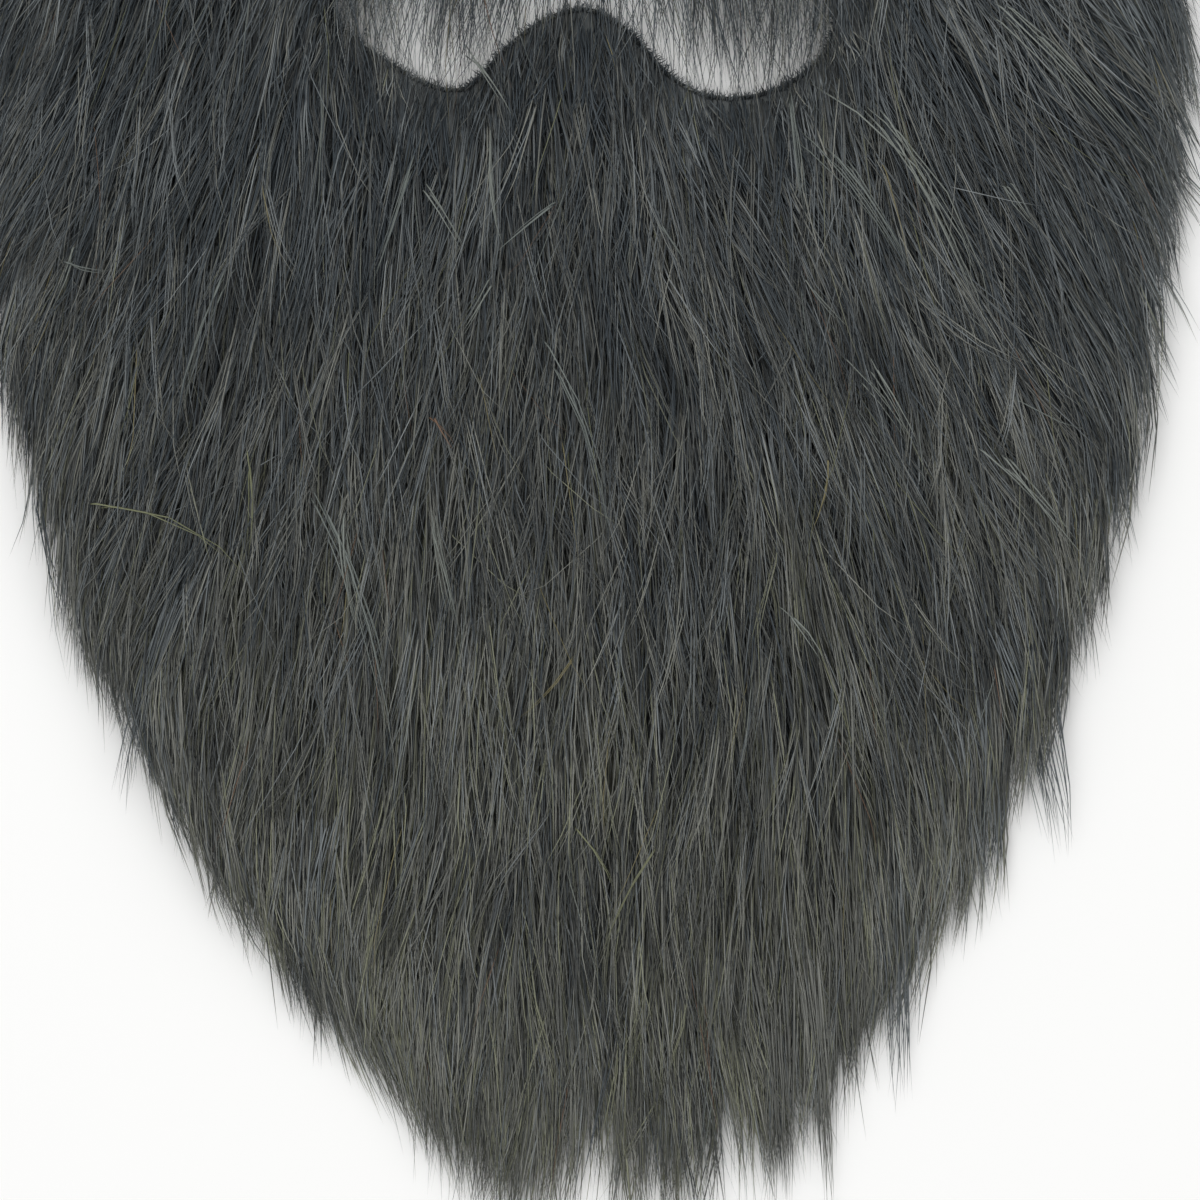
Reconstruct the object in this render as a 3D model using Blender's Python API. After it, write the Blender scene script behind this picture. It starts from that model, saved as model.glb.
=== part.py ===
"""Full costume beard with its moustache, lying on its back with the fur up.

A knitted ground cloth carries a long pile of false hair. It has a mouth opening cut through it,
and a flat elastic is sewn behind its two sideburns. X runs across the face, Y up the face and
Z out of the face. Everything is placed from the middle of the mouth line, where the moustache
parts, and is moved at the end so that the origin lies under the middle of the whole piece.
"""

import math
import random
from collections import namedtuple

import bmesh
import bpy
from mathutils import Vector
from mathutils.geometry import delaunay_2d_cdt

MM = 0.001

# Ground cloth: the right half of its cut edge, from under the chin round to the nose notch
CLOTH_THICKNESS = 2.0 * MM
CLOTH_MIDDLE = -2.0 * MM
GAP = 0.3 * MM
EdgePoint = namedtuple("EdgePoint", "across_mm up_mm")
CLOTH_EDGE = (
    EdgePoint(0, -208),
    EdgePoint(30, -204),
    EdgePoint(56, -190),
    EdgePoint(78, -166),
    EdgePoint(96, -134),
    EdgePoint(108, -100),
    EdgePoint(116, -64),
    EdgePoint(119, -24),
    EdgePoint(119, 20),
    EdgePoint(117, 62),
    EdgePoint(114, 90),
    EdgePoint(104, 101),
    EdgePoint(91, 97),
    EdgePoint(85, 82),
    EdgePoint(81, 62),
    EdgePoint(75, 44),
    EdgePoint(66, 33),
    EdgePoint(53, 33),
    EdgePoint(36, 42),
    EdgePoint(18, 47),
    EdgePoint(7, 43),
    EdgePoint(0, 39),
)

# Mouth opening, from its left corner along the lower edge with its two lobes, then back above
MOUTH_EDGE = (
    EdgePoint(-54, -3),
    EdgePoint(-40, -14),
    EdgePoint(-27, -19),
    EdgePoint(-19, -11),
    EdgePoint(-10, -4),
    EdgePoint(0, -1.5),
    EdgePoint(9, -7),
    EdgePoint(17, -16),
    EdgePoint(28, -20.5),
    EdgePoint(42, -17),
    EdgePoint(51, -6),
    EdgePoint(45, 8),
    EdgePoint(28, 16),
    EdgePoint(0, 19),
    EdgePoint(-30, 17),
    EdgePoint(-48, 9),
)

# Bed of the pile: low along every cut edge, crowned between them
BED_HEIGHT = 13.0 * MM
BED_EDGE_HEIGHT = 2.6 * MM
BED_RISE = 34.0 * MM
BED_FALL = 24.0 * MM
BED_CELL = 11.5 * MM
BED_INSET = 1.5 * MM
BED_MARGIN = 5.0 * MM
SEAT = GAP + 0.05 * MM

# Reach of the fur to each side, as seen from the front
Reach = namedtuple("Reach", "up_mm left_mm right_mm")
FUR_REACH = (
    Reach(-258, -10, 30),
    Reach(-252, -24, 48),
    Reach(-235, -33, 55),
    Reach(-217, -54, 60),
    Reach(-192, -68, 80),
    Reach(-165, -95, 97),
    Reach(-142, -101, 103),
    Reach(-110, -112, 110),
    Reach(-88, -122, 118),
    Reach(-63, -128, 125),
    Reach(-40, -131, 127),
    Reach(0, -131, 128),
    Reach(60, -131, 128),
    Reach(102, -127, 124),
)

# Locks: how fat each section is, and how high its ridge stands over the bed
LOCK_RISE = 5.0 * MM
LOCK_BURIED = 3.2 * MM
LOCK_SPREAD = math.radians(5.0)
LOCK_CURL = math.radians(9.0)
LEAST_LOCK = 2.4 * MM
LOWEST_FOOT = 0.9 * MM
TIP_DROP = 9.0 * MM
DROP_LENGTH = 22.0 * MM
Section = namedtuple("Section", "along fullness ridge")
LOCK_SECTIONS = (
    Section(0.0, 0.62, -0.5),
    Section(0.42, 1.0, 0.35),
    Section(0.80, 0.62, 1.0),
    Section(1.0, 0.0, 0.62),
)

# Rows of locks, from the sideburns down to the chin
LockRow = namedtuple("LockRow", "up_mm from_mm to_mm count length_mm width_mm")
BEARD_ROWS = (
    LockRow(90, -112, -94, 2, 40, 15),
    LockRow(90, 90, 108, 2, 40, 15),
    LockRow(66, -114, -90, 2, 44, 17),
    LockRow(66, 86, 110, 2, 44, 17),
    LockRow(42, -115, -82, 3, 48, 16),
    LockRow(42, 78, 111, 3, 48, 16),
    LockRow(17, -116, -72, 4, 50, 17),
    LockRow(17, 68, 112, 4, 50, 17),
    LockRow(-9, -117, -65, 4, 54, 18),
    LockRow(-9, 61, 113, 4, 54, 18),
    LockRow(-28, -110, 106, 13, 54, 18),
    LockRow(-55, -114, 110, 14, 54, 18),
    LockRow(-82, -108, 104, 13, 54, 18),
    LockRow(-109, -102, 98, 12, 54, 18),
    LockRow(-136, -91, 87, 11, 54, 18),
    LockRow(-163, -74, 71, 9, 54, 18),
    LockRow(-188, -52, 50, 7, 54, 17),
    LockRow(-201, -24, 24, 4, 52, 15),
)
MOUSTACHE_ROWS = (
    LockRow(42, -16, 12, 3, 26, 12),
    LockRow(36, -40, 36, 6, 26, 13),
    LockRow(26, -50, 46, 8, 18, 13),
)
ROOT_JITTER_ACROSS = 2.0 * MM
ROOT_JITTER_UP = 4.0 * MM
ROOT_MARGIN = 3.0 * MM

# The moustache's pile stops along a line from each mouth corner up to the cheek
MOUSTACHE_ZONE = (
    EdgePoint(-56, -1),
    EdgePoint(56, -4),
    EdgePoint(69, 38),
    EdgePoint(40, 60),
    EdgePoint(-40, 60),
    EdgePoint(-73, 38),
)

# Elastic: sewn behind the sideburns and laid in a slack arch above them
STRAP_WIDTH = 6.0 * MM
STRAP_THICKNESS = 1.0 * MM
STRAP_ROUTE = (
    EdgePoint(-100, 76),
    EdgePoint(-99, 98),
    EdgePoint(-55, 131),
    EdgePoint(0, 138),
    EdgePoint(55, 131),
    EdgePoint(99, 98),
    EdgePoint(100, 76),
)

# Heights between which the cutters reach, clear of everything that they cut
CUT_LOW = -6.0 * MM
CUT_HIGH = 50.0 * MM

MATERIALS = {
    "knit_backing": ((0.012, 0.013, 0.013), 0.9),
    "beard_fur": ((0.045, 0.048, 0.047), 0.55),
    "moustache_fur": ((0.038, 0.041, 0.042), 0.55),
    "elastic_strap": ((0.010, 0.010, 0.011), 0.7),
}


def clear_scene():
    for item in list(bpy.data.objects):
        bpy.data.objects.remove(item, do_unlink=True)


def smooth_step(value):
    held = min(max(value, 0.0), 1.0)
    return held * held * (3.0 - 2.0 * held)


def placed(points, middle=0.0):
    return [Vector((middle + x * MM, y * MM)) for x, y in points]


def curve_through(points, steps, closed=True):
    """Points along a Catmull-Rom curve through the given ones."""
    count = len(points)
    found = []
    for i in range(count if closed else count - 1):
        if closed:
            four = [points[(i + k) % count] for k in (-1, 0, 1, 2)]
        else:
            four = [points[min(max(i + k, 0), count - 1)] for k in (-1, 0, 1, 2)]
        a, b, c, d = four
        for step in range(steps):
            t = step / steps
            bend = (2 * a - 5 * b + 4 * c - d) * t * t + (3 * b - a - 3 * c + d) * t**3
            found.append(0.5 * (2 * b + (c - a) * t + bend))
    if not closed:
        found.append(points[-1])
    return found


def cloth_outline():
    """The whole cut edge, anticlockwise from under the chin."""
    mirrored = [EdgePoint(-x, y) for x, y in CLOTH_EDGE[-2:0:-1]]
    return curve_through(placed(CLOTH_EDGE + tuple(mirrored), CLOTH_MIDDLE), 2)


def grown(outline, by):
    """The outline moved out of its own area by a distance, or into it if that is negative."""
    count = len(outline)
    area = sum(outline[i - 1].cross(outline[i]) for i in range(count))
    side = by if area > 0 else -by
    found = []
    for i, point in enumerate(outline):
        along = (outline[(i + 1) % count] - outline[i - 1]).normalized()
        found.append(point + side * Vector((along.y, -along.x)))
    return found


def distance_to(point, outline):
    """How far a point lies from an outline, negative outside it."""
    nearest = math.inf
    inside = False
    for a, b in zip(outline, outline[1:] + outline[:1]):
        edge = b - a
        t = min(max((point - a).dot(edge) / edge.length_squared, 0.0), 1.0)
        nearest = min(nearest, (a + t * edge - point).length)
        if (a.y > point.y) != (b.y > point.y):
            if point.x < a.x + (point.y - a.y) * edge.x / edge.y:
                inside = not inside
    return nearest if inside else -nearest


def fur_limits(up):
    """Left and right reach of the fur at a height on the face."""
    for low, high in zip(FUR_REACH, FUR_REACH[1:]):
        if up <= high.up_mm * MM:
            break
    t = min(max((up / MM - low.up_mm) / (high.up_mm - low.up_mm), 0.0), 1.0)
    left = low.left_mm + t * (high.left_mm - low.left_mm)
    right = low.right_mm + t * (high.right_mm - low.right_mm)
    return left * MM, right * MM


def beard_comb(across, up):
    """Lean of the pile from straight down, towards +X. It fans out over the cheeks, less so
    on the left and on the sideburns, and falls almost straight at the chin."""
    down = smooth_step(-up / (200.0 * MM))
    fan = math.radians(38.0) * (1.0 - down) + math.radians(7.0) * down
    side = across / (110.0 * MM)
    if side < 0:
        side *= 0.62
    if up > 30.0 * MM:
        side *= 0.55
    return fan * side


def moustache_comb(across, up):
    """The moustache is parted in the middle and combed outwards and down."""
    spread = min(abs(across) / (50.0 * MM), 1.0)
    return math.copysign(math.radians(14.0 + 46.0 * spread), across)


class Pile:
    """The area that the pile covers, and the height of its bed."""

    def __init__(self):
        self.cloth = cloth_outline()
        self.mouth = curve_through(placed(MOUTH_EDGE), 2)

    def inside(self, point):
        return min(distance_to(point, self.cloth), -distance_to(point, self.mouth))

    def bed(self, point):
        depth = self.inside(point)
        crown = smooth_step(depth / BED_RISE) * (BED_HEIGHT - BED_EDGE_HEIGHT)
        fall = smooth_step(-depth / BED_FALL) * BED_EDGE_HEIGHT
        return CLOTH_THICKNESS + GAP + BED_EDGE_HEIGHT + crown - fall


def add_object(name, bm):
    mesh = bpy.data.meshes.new(name)
    bm.to_mesh(mesh)
    bm.free()
    item = bpy.data.objects.new(name, mesh)
    bpy.context.collection.objects.link(item)
    return item


def add_cutter(name, bm):
    cutter = add_object(name, bm)
    cutter.hide_render = True
    cutter.display_type = "WIRE"
    return cutter


def boolean(item, operation, other):
    """Adds an exact Boolean with an object, or with all the objects of a collection."""
    modifier = item.modifiers.new(operation.title(), "BOOLEAN")
    modifier.solver = "EXACT"
    modifier.operation = operation
    if isinstance(other, bpy.types.Collection):
        modifier.operand_type = "COLLECTION"
        modifier.collection = other
    else:
        modifier.object = other


def apply_modifiers(item):
    """Keeps the evaluated mesh, so that what was cut with is no longer needed."""
    graph = bpy.context.evaluated_depsgraph_get()
    mesh = bpy.data.meshes.new_from_object(item.evaluated_get(graph))
    item.modifiers.clear()
    item.data = mesh


def layer(outlines, low, high):
    """A flat layer over the area between outlines, with upright edges."""
    bm = bmesh.new()
    edges = []
    for outline in outlines:
        ring = [bm.verts.new((p.x, p.y, low)) for p in outline]
        edges += [bm.edges.new((a, b)) for a, b in zip(ring, ring[1:] + ring[:1])]
    bmesh.ops.triangle_fill(bm, edges=edges, use_beauty=True, use_dissolve=False)
    for face in bm.faces:
        if face.normal.z > 0:
            face.normal_flip()
    doubled = bmesh.ops.extrude_face_region(bm, geom=bm.faces[:])
    tops = [g for g in doubled["geom"] if isinstance(g, bmesh.types.BMVert)]
    bmesh.ops.translate(bm, vec=(0, 0, high - low), verts=tops)
    bmesh.ops.recalc_face_normals(bm, faces=bm.faces)
    return bm


def make_backing(pile):
    """The ground cloth. The sewn ends of the elastic are pulled up into its back."""
    backing = add_object("knit_backing", layer((pile.cloth, pile.mouth), 0.0, CLOTH_THICKNESS))
    recess = add_cutter("elastic_recess", strap_body(STRAP_WIDTH + 2 * GAP, -GAP, GAP))
    boolean(backing, "DIFFERENCE", recess)
    apply_modifiers(backing)
    bpy.data.objects.remove(recess, do_unlink=True)
    return backing


def bed_points(pile):
    """Staggered rows of points inside the pile's area, clear of its edges."""
    reach = round(130 * MM / BED_CELL)
    rows = range(round(-210 * MM / BED_CELL), round(105 * MM / BED_CELL))
    found = []
    for row in rows:
        for column in range(-reach, reach + 1):
            across = CLOTH_MIDDLE + (column + 0.5 * (row % 2)) * BED_CELL
            point = Vector((across, row * BED_CELL))
            if pile.inside(point) > BED_MARGIN:
                found.append(point)
    return found


def make_bed(name, pile):
    """A low crowned layer over the whole cloth, kept just inside the cloth's edge."""
    outer = grown(pile.cloth, -BED_INSET)
    inner = grown(pile.mouth, BED_INSET)
    points = []
    edges = []
    for outline in (outer, inner):
        first = len(points)
        count = len(outline)
        edges += [(first + i, first + (i + 1) % count) for i in range(count)]
        points += outline
    flat, _, faces, _, _, _ = delaunay_2d_cdt(points + bed_points(pile), edges, [], 0, 1e-7)
    bm = bmesh.new()
    tops = [bm.verts.new((p.x, p.y, pile.bed(p))) for p in flat]
    for face in faces:
        middle = sum((flat[i] for i in face), Vector((0, 0))) / len(face)
        if distance_to(middle, outer) > 0 > distance_to(middle, inner):
            bm.faces.new([tops[i] for i in face])
    loose = [vert for vert in bm.verts if not vert.link_faces]
    bmesh.ops.delete(bm, geom=loose, context="VERTS")
    for face in bm.faces:
        if face.normal.z < 0:
            face.normal_flip()
    border = [edge for edge in bm.edges if edge.is_boundary]
    skirt = bmesh.ops.extrude_edge_only(bm, edges=border)["geom"]
    for vert in (g for g in skirt if isinstance(g, bmesh.types.BMVert)):
        vert.co.z = CLOTH_THICKNESS + SEAT
    foot = [g for g in skirt if isinstance(g, bmesh.types.BMEdge)]
    bmesh.ops.triangle_fill(bm, edges=foot, use_beauty=True, use_dissolve=False)
    bmesh.ops.recalc_face_normals(bm, faces=bm.faces)
    return add_object(name, bm)


def lock_rings(pile, root, length, width, comb, rng):
    """Sections of one lock: a ridge, two shoulders and two feet, then the tip's ridge and foot.

    The feet are sunk in the bed. Once the lock has left the cloth they come down to just over
    the surface that the piece lies on. The lock bends back where it would pass the fur's reach.
    """
    lean = comb(root.x, root.y) + rng.uniform(-LOCK_SPREAD, LOCK_SPREAD)
    curl = rng.uniform(-LOCK_CURL, LOCK_CURL)
    lift = rng.uniform(0.8, 1.25) * LOCK_RISE
    lowest = rng.uniform(0.2, 0.7) * MM
    sunk = rng.uniform(0.9, 1.2) * LOCK_BURIED
    rings = []
    point = root.copy()
    walked = 0.0
    for section in LOCK_SECTIONS:
        turn = lean + curl * section.along
        ahead = Vector((math.sin(turn), -math.cos(turn)))
        point = point + (section.along * length - walked) * ahead
        walked = section.along * length
        half = 0.5 * width * section.fullness
        left, right = fur_limits(point.y)
        point.x = min(max(point.x, left + half), right - half)
        bed = pile.bed(point)
        outside = -pile.inside(point)
        if outside > 0:
            drop = smooth_step(outside / DROP_LENGTH)
            top = bed + section.ridge * lift * (1.0 - 0.75 * drop)
            foot = max(bed - sunk - drop * TIP_DROP, lowest)
        else:
            top = bed + section.ridge * lift
            foot = max(bed - sunk, CLOTH_THICKNESS + LOWEST_FOOT + lowest)
        top = max(top, foot + LEAST_LOCK)
        side = Vector((-ahead.y, ahead.x)) * half
        shoulder = top - 0.38 * (top - foot)
        if half > 0:
            ring = (
                (point - side * 0.8, foot),
                (point - side, shoulder),
                (point, top),
                (point + side, shoulder),
                (point + side * 0.8, foot),
            )
        else:
            ring = ((point, top), (point, foot))
        rings.append([Vector((p.x, p.y, z)) for p, z in ring])
    return rings


def lock_body(rings):
    """Skins the sections of one lock, with a flat root and a pointed tip."""
    bm = bmesh.new()
    loops = [[bm.verts.new(corner) for corner in ring] for ring in rings]
    bm.faces.new(loops[0])
    for before, after in zip(loops[:-2], loops[1:-1]):
        for i in range(5):
            j = (i + 1) % 5
            bm.faces.new((before[j], before[i], after[i], after[j]))
    last = loops[-2]
    top, foot = loops[-1]
    bm.faces.new((last[1], last[0], foot, top))
    bm.faces.new((last[2], last[1], top))
    bm.faces.new((last[3], last[2], top))
    bm.faces.new((last[4], last[3], top, foot))
    bm.faces.new((last[0], last[4], foot))
    bmesh.ops.recalc_face_normals(bm, faces=bm.faces)
    bmesh.ops.triangulate(bm, faces=bm.faces)
    return bm


def make_locks(name, pile, rows, comb, seed):
    """A collection with each lock as a cutter of its own, in rows from the top down."""
    rng = random.Random(seed)
    locks = bpy.data.collections.new(name)
    for row in rows:
        for i in range(row.count):
            across = row.from_mm + i / (row.count - 1) * (row.to_mm - row.from_mm)
            jitter = rng.uniform(-ROOT_JITTER_ACROSS, ROOT_JITTER_ACROSS)
            up = row.up_mm * MM + rng.uniform(-ROOT_JITTER_UP, ROOT_JITTER_UP)
            root = Vector((across * MM + jitter, up))
            if pile.inside(root) < ROOT_MARGIN:
                continue
            length = row.length_mm * MM * rng.uniform(0.9, 1.08)
            rings = lock_rings(pile, root, length, row.width_mm * MM, comb, rng)
            locks.objects.link(add_cutter(name, lock_body(rings)))
    return locks


def keep_largest_body(item):
    """Fills any pocket that locks have closed in between them, and drops any chip."""
    bm = bmesh.new()
    bm.from_mesh(item.data)
    left = set(bm.verts)
    bodies = []
    while left:
        fresh = [left.pop()]
        body = set(fresh)
        while fresh:
            vert = fresh.pop()
            near = {edge.other_vert(vert) for edge in vert.link_edges} - body
            body |= near
            fresh += near
        left -= body
        bodies.append(body)
    largest = max(bodies, key=len)
    spare = [vert for body in bodies if body is not largest for vert in body]
    bmesh.ops.delete(bm, geom=spare, context="VERTS")
    bm.to_mesh(item.data)
    bm.free()


def make_fur(name, pile, rows, comb, seed, zone, operation, clearance):
    """A bed of pile with its locks fused to it, kept to its own side of the moustache line."""
    fur = make_bed(name, pile)
    locks = make_locks(name + "_locks", pile, rows, comb, seed)
    boolean(fur, "UNION", locks)
    boolean(fur, operation, zone)
    boolean(fur, "DIFFERENCE", clearance)
    apply_modifiers(fur)
    keep_largest_body(fur)
    for lock in list(locks.objects):
        bpy.data.objects.remove(lock, do_unlink=True)
    return fur


def strap_body(width, low, beyond):
    """The elastic as a flat band, reaching past its real top and ends by a distance."""
    line = curve_through(placed(STRAP_ROUTE, CLOTH_MIDDLE), 6, closed=False)
    high = STRAP_THICKNESS + beyond
    bm = bmesh.new()
    loops = []
    for i, point in enumerate(line):
        before = line[max(i - 1, 0)]
        after = line[min(i + 1, len(line) - 1)]
        along = (after - before).normalized()
        end = (i == len(line) - 1) - (i == 0)
        side = Vector((-along.y, along.x)) * 0.5 * width
        left = point + along * end * beyond + side
        right = point + along * end * beyond - side
        corners = ((left, low), (right, low), (right, high), (left, high))
        loops.append([bm.verts.new((p.x, p.y, z)) for p, z in corners])
    bm.faces.new(loops[0])
    bm.faces.new(loops[-1])
    for first, second in zip(loops, loops[1:]):
        for i in range(4):
            j = (i + 1) % 4
            bm.faces.new((first[i], first[j], second[j], second[i]))
    bmesh.ops.recalc_face_normals(bm, faces=bm.faces)
    return bm


def give_material(item):
    colour, roughness = MATERIALS[item.name]
    material = bpy.data.materials.new(item.name)
    material.use_nodes = True
    shader = material.node_tree.nodes["Principled BSDF"]
    shader.inputs["Base Color"].default_value = (*colour, 1.0)
    shader.inputs["Roughness"].default_value = roughness
    item.data.materials.clear()
    item.data.materials.append(material)


def set_on_origin(items):
    """Moves the meshes so that the origin lies under the middle of the whole piece."""
    corners = [vert.co for item in items for vert in item.data.vertices]
    low = Vector([min(c[i] for c in corners) for i in range(3)])
    high = Vector([max(c[i] for c in corners) for i in range(3)])
    shift = Vector((-0.5 * (low.x + high.x), -0.5 * (low.y + high.y), -low.z))
    for item in items:
        for vert in item.data.vertices:
            vert.co += shift


def build():
    clear_scene()
    pile = Pile()
    line = placed(MOUSTACHE_ZONE)
    zone = add_cutter("moustache_zone", layer((line,), CUT_LOW, CUT_HIGH))
    apart = add_cutter("beside_moustache", layer((grown(line, GAP),), CUT_LOW, CUT_HIGH))
    cleared = (grown(pile.cloth, GAP), grown(pile.mouth, -GAP))
    over_cloth = add_cutter("over_cloth", layer(cleared, CUT_LOW, CLOTH_THICKNESS + GAP))
    items = [
        make_backing(pile),
        make_fur("beard_fur", pile, BEARD_ROWS, beard_comb, 11, apart, "DIFFERENCE", over_cloth),
        make_fur(
            "moustache_fur", pile, MOUSTACHE_ROWS, moustache_comb, 5, zone, "INTERSECT", over_cloth
        ),
        add_object("elastic_strap", strap_body(STRAP_WIDTH, 0.0, 0.0)),
    ]
    for cutter in (zone, apart, over_cloth):
        bpy.data.objects.remove(cutter, do_unlink=True)
    set_on_origin(items)
    for item in items:
        give_material(item)


build()
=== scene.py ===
"""Costume beard with its moustache, lying on its back with the pile up, dressed over its frame."""

import math
from collections import namedtuple

import bmesh
import bpy
import numpy as np
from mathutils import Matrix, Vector

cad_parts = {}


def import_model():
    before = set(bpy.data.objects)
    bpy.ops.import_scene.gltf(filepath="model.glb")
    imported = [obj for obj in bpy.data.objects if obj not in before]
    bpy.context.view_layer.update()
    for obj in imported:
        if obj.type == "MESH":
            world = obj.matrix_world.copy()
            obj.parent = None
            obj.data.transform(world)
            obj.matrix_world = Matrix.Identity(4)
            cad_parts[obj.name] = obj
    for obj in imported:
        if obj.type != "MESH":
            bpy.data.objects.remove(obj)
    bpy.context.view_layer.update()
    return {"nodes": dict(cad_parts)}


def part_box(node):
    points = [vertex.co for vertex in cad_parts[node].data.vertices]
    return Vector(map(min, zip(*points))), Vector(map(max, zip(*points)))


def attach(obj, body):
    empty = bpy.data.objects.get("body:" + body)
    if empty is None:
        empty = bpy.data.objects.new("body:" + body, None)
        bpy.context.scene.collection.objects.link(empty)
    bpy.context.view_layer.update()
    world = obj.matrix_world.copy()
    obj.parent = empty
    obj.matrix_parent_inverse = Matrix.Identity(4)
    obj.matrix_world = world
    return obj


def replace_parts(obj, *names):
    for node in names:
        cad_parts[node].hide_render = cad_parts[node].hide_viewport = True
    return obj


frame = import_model()

# Ground cloth: charcoal polyester warp knit, about 2 mm thick with the loops that hold the pile.
# It is cut like a face mask with a mouth opening, and its soft cut edges are left raw.
MM = 0.001
CLOTH_TOP = 2.0
CLOTH_MIDDLE = -2.0
CLOTH_LOWEST = -208.0
EDGE_ROUND_MM = 0.6
WALE_MM = 1.5
COURSE_MM = 1.1
LOOP_RELIEF_MM = 0.4

cloth_low, cloth_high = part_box("knit_backing")
# Where the moustache parts, on the mouth line. Everything below is placed from there.
PARTING_X = 0.5 * (cloth_low[0] + cloth_high[0]) / MM - CLOTH_MIDDLE
PARTING_Y = cloth_low[1] / MM - CLOTH_LOWEST


def linear(code):
    """The linear colour of an sRGB hex value."""
    channels = [int(code[i : i + 2], 16) / 255 for i in (1, 3, 5)]
    return (*(c / 12.92 if c <= 0.04045 else ((c + 0.055) / 1.055) ** 2.4 for c in channels), 1.0)


def add_node(material, kind, inputs=(), **settings):
    """Adds a shader node. inputs gives each of its sockets a value, or another node's socket."""
    made = material.node_tree.nodes.new(kind)
    for name, value in settings.items():
        setattr(made, name, value)
    for socket, value in dict(inputs).items():
        if isinstance(value, bpy.types.NodeSocket):
            material.node_tree.links.new(value, made.inputs[socket])
        else:
            made.inputs[socket].default_value = value
    return made


def new_material(name, roughness):
    material = bpy.data.materials.new(name)
    material.use_nodes = True
    shader = material.node_tree.nodes["Principled BSDF"]
    shader.inputs["Roughness"].default_value = roughness
    return material, shader


def feed(material, shader, **sockets):
    """Links a node's sockets to the shader's, an underscore standing for a space."""
    for name, socket in sockets.items():
        material.node_tree.links.new(socket, shader.inputs[name.replace("_", " ")])


def add_piece(name, mesh, material):
    mesh.materials.append(material)
    piece = bpy.data.objects.new(name, mesh)
    bpy.context.scene.collection.objects.link(piece)
    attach(piece, "root")
    return piece


SORTING_WAY = Vector((0.8147, 0.5772, 0.1416))


def mesh_of(bm, name, smooth_faces=False):
    # Extruding leaves new faces in no fixed order, so all are sorted to be the same in each run
    bm.verts.sort(key=lambda vert: vert.co.dot(SORTING_WAY))
    bm.faces.sort(key=lambda face: face.calc_center_median().dot(SORTING_WAY))
    mesh = bpy.data.meshes.new(name)
    for face in bm.faces:
        face.smooth = smooth_faces
    bm.to_mesh(mesh)
    bm.free()
    return mesh


def cut_loops():
    """The cut edges of the frame's cloth, the outline first, each as its points in order, with
    corners softened."""
    bm = bmesh.new()
    bm.from_mesh(frame["nodes"]["knit_backing"].data)
    bmesh.ops.remove_doubles(bm, verts=bm.verts, dist=1e-6)
    left = {}
    for edge in bm.edges:
        level = all(abs(vert.co.z / MM - CLOTH_TOP) < 0.05 for vert in edge.verts)
        if level and sum(face.normal.z > 0.9 for face in edge.link_faces) == 1:
            left[edge] = True
    loops = []
    while left:
        first, vert = left.popitem()[0].verts
        loop = [first]
        while vert is not first:
            loop.append(vert)
            edge = next(e for e in vert.link_edges if e in left)
            del left[edge]
            vert = edge.other_vert(vert)
        line = np.array([(v.co.x / MM - PARTING_X, v.co.y / MM - PARTING_Y) for v in loop])
        for _ in range(2):
            after = np.roll(line, -1, axis=0)
            line = np.stack([0.75 * line + 0.25 * after, 0.25 * line + 0.75 * after], axis=1)
            line = line.reshape(-1, 2)
        loops.append(line)
    bm.free()
    return sorted(loops, key=len, reverse=True)


def world(x, y, z):
    """A point given from the parting in millimetres, in the frame's metres."""
    return ((x + PARTING_X) * MM, (y + PARTING_Y) * MM, z * MM)


CUT_LOOPS = cut_loops()

# A knit of plain loops, dull and dark: wales run up the cloth and courses across it.
knit, shader = new_material("polyester_warp_knit", 0.9)
place = add_node(knit, "ShaderNodeTexCoord")
wales = add_node(
    knit,
    "ShaderNodeTexWave",
    {"Vector": place.outputs["Object"], "Scale": math.pi / (10 * WALE_MM * MM)},
    bands_direction="X",
)
courses = add_node(
    knit,
    "ShaderNodeTexWave",
    {"Vector": place.outputs["Object"], "Scale": math.pi / (10 * COURSE_MM * MM)},
    bands_direction="Y",
)
loops = add_node(
    knit,
    "ShaderNodeMath",
    {0: wales.outputs["Fac"], 1: courses.outputs["Fac"]},
    operation="MULTIPLY",
)
yarn = add_node(knit, "ShaderNodeValToRGB", {"Fac": loops.outputs[0]})
yarn.color_ramp.elements[0].color = linear("#2c3032")
yarn.color_ramp.elements[1].color = linear("#54595a")
raised = add_node(
    knit, "ShaderNodeBump", {"Height": loops.outputs[0], "Distance": LOOP_RELIEF_MM * MM}
)
feed(knit, shader, Base_Color=yarn.outputs["Color"], Normal=raised.outputs["Normal"])

bm = bmesh.new()
ring_edges = []
for line in CUT_LOOPS:
    ring = [bm.verts.new(world(x, y, 0.0)) for x, y in line]
    ring_edges += [bm.edges.new((a, b)) for a, b in zip(ring, ring[1:] + ring[:1])]
bmesh.ops.triangle_fill(bm, edges=ring_edges, use_beauty=True, use_dissolve=False)
for face in bm.faces:
    if face.normal.z > 0:
        face.normal_flip()
doubled = bmesh.ops.extrude_face_region(bm, geom=bm.faces[:])
tops = [g for g in doubled["geom"] if isinstance(g, bmesh.types.BMVert)]
bmesh.ops.translate(bm, vec=(0, 0, CLOTH_TOP * MM), verts=tops)
bmesh.ops.recalc_face_normals(bm, faces=bm.faces)
rims = [edge for edge in bm.edges if edge.calc_face_angle(0) > math.radians(80)]
bmesh.ops.bevel(
    bm,
    geom=rims,
    offset=EDGE_ROUND_MM * MM,
    segments=2,
    profile=0.5,
    affect="EDGES",
    material=-1,
    clamp_overlap=True,
)
cloth = add_piece("ground_cloth", mesh_of(bm, "ground_cloth"), knit)
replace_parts(cloth, "knit_backing")

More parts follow.
